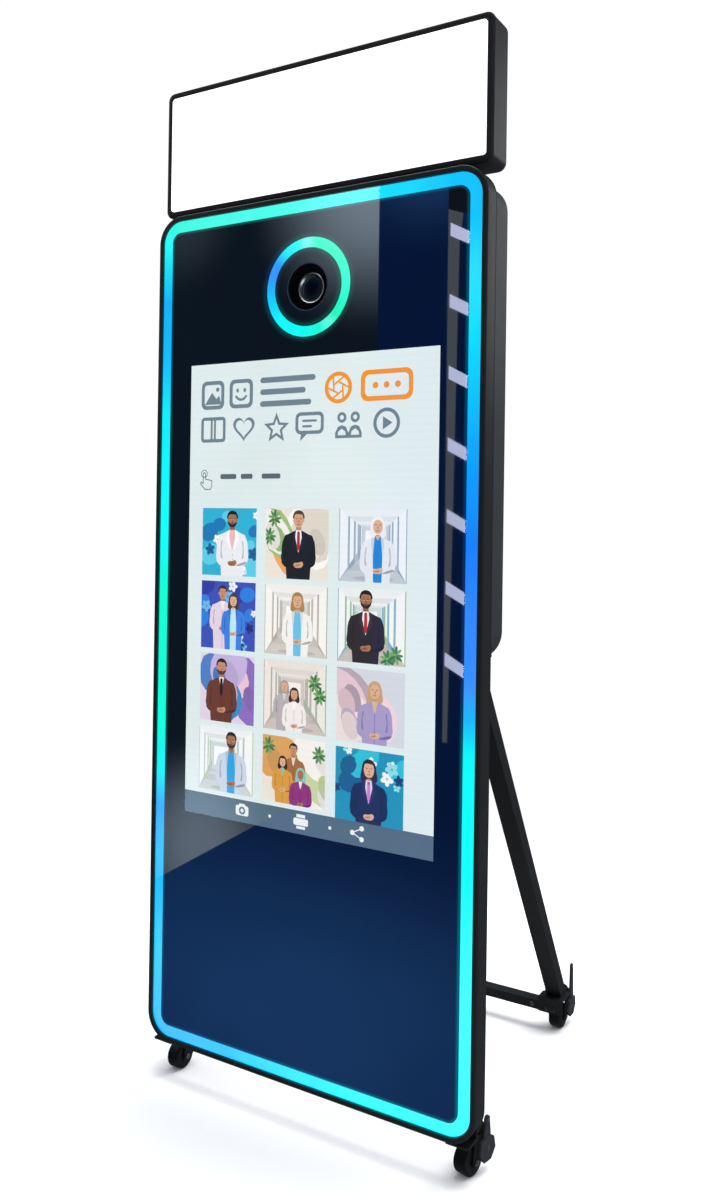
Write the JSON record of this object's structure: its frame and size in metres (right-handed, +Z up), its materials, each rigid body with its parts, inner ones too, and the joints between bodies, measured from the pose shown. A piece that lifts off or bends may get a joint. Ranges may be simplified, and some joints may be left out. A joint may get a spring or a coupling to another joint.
{
  "type": "photo booth",
  "caption": "Free-standing mirror photo booth: lit glass panel with camera and display, fill light on top, service box and folding rear stand on braked casters.",
  "frame": {"origin": "on the floor, at the middle of the footprint", "axes": "+X to the right as seen from the front, +Y towards the rear stand, +Z up"},
  "size_m": [0.668, 0.6386, 1.855],
  "materials": {
    "rim_aluminium": "black anodised, satin",
    "mirror_glass": "two-way mirror, polished",
    "opal_acrylic": "opal, lit",
    "opal_white": "opal, lit",
    "led_board": "white solder mask",
    "black_plastic": "fine texture",
    "display_glass": "lit picture",
    "chassis_steel": "zinc grey",
    "powder_black": "fine powder coat",
    "zinc_steel": "zinc plated",
    "camera_black": "fine grain",
    "lens_coating": "coated",
    "computer_case": "bead blasted",
    "supply_case": "perforated sheet",
    "controller_case": "smooth",
    "switch_red": "moulded",
    "caster_nylon": "moulded nylon",
    "wheel_polyurethane": "cast polyurethane",
    "lever_grey": "moulded"
  },
  "bodies": {
    "cabinet": {"frame_rim": "rim_aluminium", "mirror_glass": "mirror_glass", "perimeter_diffuser": "opal_acrylic", "perimeter_led_strips": "led_board", "camera_ring_diffuser": "opal_acrylic", "camera_ring_led_board": "led_board", "camera_baffle": "black_plastic", "display_panel": "display_glass", "display_chassis": "chassis_steel", "back_panel": "powder_black", "rear_box_shell": "powder_black", "cabinet_screws": "zinc_steel", "camera_bracket": "zinc_steel", "camera_body": "camera_black", "lens_barrel": "camera_black", "lens_glass": "lens_coating", "mini_computer": "computer_case", "power_supply": "supply_case", "led_controller": "controller_case", "fan_frame": "black_plastic", "fan_guard": "zinc_steel", "power_inlet": "black_plastic", "door_hinges": "zinc_steel", "light_post_sockets": "powder_black", "stand_hinge_brackets": "powder_black", "stand_pivot_pins": "zinc_steel", "front_caster_brackets": "powder_black"},
    "focus_ring": {"lens_focus_ring": "camera_black"},
    "fan_rotor": {"fan_rotor": "black_plastic"},
    "power_switch": {"power_switch": "switch_red"},
    "service_door": {"service_door": "powder_black"},
    "door_lock": {"door_lock": "zinc_steel"},
    "light_clamp_knob_left": {"light_clamp_knob_left": "black_plastic"},
    "light_clamp_knob_right": {"light_clamp_knob_right": "black_plastic"},
    "light_box": {"lightbox_housing": "rim_aluminium", "lightbox_diffuser": "opal_white", "lightbox_led_board": "led_board", "lightbox_posts": "zinc_steel"},
    "stand": {"stand_leg_left": "powder_black", "stand_leg_right": "powder_black", "stand_crossbar": "powder_black", "foot_brackets": "powder_black"},
    "stand_clamp_knob_left": {"stand_clamp_knob_left": "black_plastic"},
    "stand_clamp_knob_right": {"stand_clamp_knob_right": "black_plastic"},
    "caster_front_right": {"caster_fork_front_right": "caster_nylon", "caster_axle_front_right": "zinc_steel"},
    "wheel_front_right": {"caster_wheel_front_right": "wheel_polyurethane"},
    "brake_front_right": {"brake_lever_front_right": "lever_grey"},
    "caster_front_left": {"caster_fork_front_left": "caster_nylon", "caster_axle_front_left": "zinc_steel"},
    "wheel_front_left": {"caster_wheel_front_left": "wheel_polyurethane"},
    "brake_front_left": {"brake_lever_front_left": "lever_grey"},
    "caster_rear_right": {"caster_fork_rear_right": "caster_nylon", "caster_axle_rear_right": "zinc_steel"},
    "wheel_rear_right": {"caster_wheel_rear_right": "wheel_polyurethane"},
    "brake_rear_right": {"brake_lever_rear_right": "lever_grey"},
    "caster_rear_left": {"caster_fork_rear_left": "caster_nylon", "caster_axle_rear_left": "zinc_steel"},
    "wheel_rear_left": {"caster_wheel_rear_left": "wheel_polyurethane"},
    "brake_rear_left": {"brake_lever_rear_left": "lever_grey"}
  },
  "joints": [
    {"name": "lens_focus", "type": "hinge", "parent": "cabinet", "child": "focus_ring", "pos_m": [0, -0.2913, 1.45], "axis": [0, 1, 0], "range_deg": [-60, 60]},
    {"name": "fan_spin", "type": "hinge", "parent": "cabinet", "child": "fan_rotor", "pos_m": [0.21, -0.2458, 0.954], "axis": [0, 1, 0], "continuous": true},
    {"name": "power_rocker", "type": "hinge", "parent": "cabinet", "child": "power_switch", "pos_m": [-0.19, -0.2363, 0.9113], "axis": [1, 0, 0], "range_deg": [0, 18]},
    {"name": "door_swing", "type": "hinge", "parent": "cabinet", "child": "service_door", "pos_m": [-0.154, -0.228, 1.32], "axis": [0, 0, 1], "range_deg": [0, 110]},
    {"name": "door_lock_turn", "type": "hinge", "parent": "service_door", "child": "door_lock", "pos_m": [0.132, -0.2323, 1.32], "axis": [0, -1, 0], "range_deg": [0, 90]},
    {"name": "light_box_lift", "type": "slide", "parent": "cabinet", "child": "light_box", "axis": [0, 0, 1], "range_m": [0, 0.09]},
    {"name": "light_clamp_turn_left", "type": "hinge", "parent": "cabinet", "child": "light_clamp_knob_left", "pos_m": [-0.2, -0.2223, 1.56], "axis": [0, -1, 0], "range_deg": [0, 540]},
    {"name": "light_clamp_turn_right", "type": "hinge", "parent": "cabinet", "child": "light_clamp_knob_right", "pos_m": [0.2, -0.2223, 1.56], "axis": [0, -1, 0], "range_deg": [0, 540]},
    {"name": "stand_fold", "type": "hinge", "parent": "cabinet", "child": "stand", "pos_m": [0, -0.2103, 0.828], "axis": [-1, 0, 0], "range_deg": [0, 31]},
    {"name": "stand_clamp_turn_left", "type": "hinge", "parent": "cabinet", "child": "stand_clamp_knob_left", "pos_m": [-0.292, -0.2103, 0.828], "axis": [1, 0, 0], "range_deg": [0, 180]},
    {"name": "stand_clamp_turn_right", "type": "hinge", "parent": "cabinet", "child": "stand_clamp_knob_right", "pos_m": [0.292, -0.2103, 0.828], "axis": [1, 0, 0], "range_deg": [0, 180]},
    {"name": "swivel_front_right", "type": "hinge", "parent": "cabinet", "child": "caster_front_right", "pos_m": [0.301, -0.2413, 0.0694], "axis": [0, 0, 1], "range_deg": [-10, 100]},
    {"name": "roll_front_right", "type": "hinge", "parent": "caster_front_right", "child": "wheel_front_right", "pos_m": [0.29684, -0.26086, 0.024], "axis": [0.9781, -0.2079, 0], "continuous": true},
    {"name": "brake_press_front_right", "type": "hinge", "parent": "caster_front_right", "child": "brake_front_right", "pos_m": [0.32139, -0.24155, 0.038], "axis": [-0.9781, 0.2079, 0], "range_deg": [0, 50]},
    {"name": "swivel_front_left", "type": "hinge", "parent": "cabinet", "child": "caster_front_left", "pos_m": [-0.301, -0.2413, 0.0694], "axis": [0, 0, -1], "range_deg": [-10, 100]},
    {"name": "roll_front_left", "type": "hinge", "parent": "caster_front_left", "child": "wheel_front_left", "pos_m": [-0.301, -0.2613, 0.024], "axis": [1, 0, 0], "continuous": true},
    {"name": "brake_press_front_left", "type": "hinge", "parent": "caster_front_left", "child": "brake_front_left", "pos_m": [-0.321, -0.2373, 0.038], "axis": [-1, 0, 0], "range_deg": [0, 50]},
    {"name": "swivel_rear_right", "type": "hinge", "parent": "stand", "child": "caster_rear_right", "pos_m": [0.264, 0.29385, 0.0694], "axis": [0, 0, 1], "range_deg": [-10, 100]},
    {"name": "roll_rear_right", "type": "hinge", "parent": "caster_rear_right", "child": "wheel_rear_right", "pos_m": [0.264, 0.27385, 0.024], "axis": [1, 0, 0], "continuous": true},
    {"name": "brake_press_rear_right", "type": "hinge", "parent": "caster_rear_right", "child": "brake_rear_right", "pos_m": [0.284, 0.29785, 0.038], "axis": [-1, 0, 0], "range_deg": [0, 50]},
    {"name": "swivel_rear_left", "type": "hinge", "parent": "stand", "child": "caster_rear_left", "pos_m": [-0.264, 0.29385, 0.0694], "axis": [0, 0, -1], "range_deg": [-10, 100]},
    {"name": "roll_rear_left", "type": "hinge", "parent": "caster_rear_left", "child": "wheel_rear_left", "pos_m": [-0.264, 0.27385, 0.024], "axis": [1, 0, 0], "continuous": true},
    {"name": "brake_press_rear_left", "type": "hinge", "parent": "caster_rear_left", "child": "brake_rear_left", "pos_m": [-0.284, 0.29785, 0.038], "axis": [-1, 0, 0], "range_deg": [0, 50]}
  ]
}
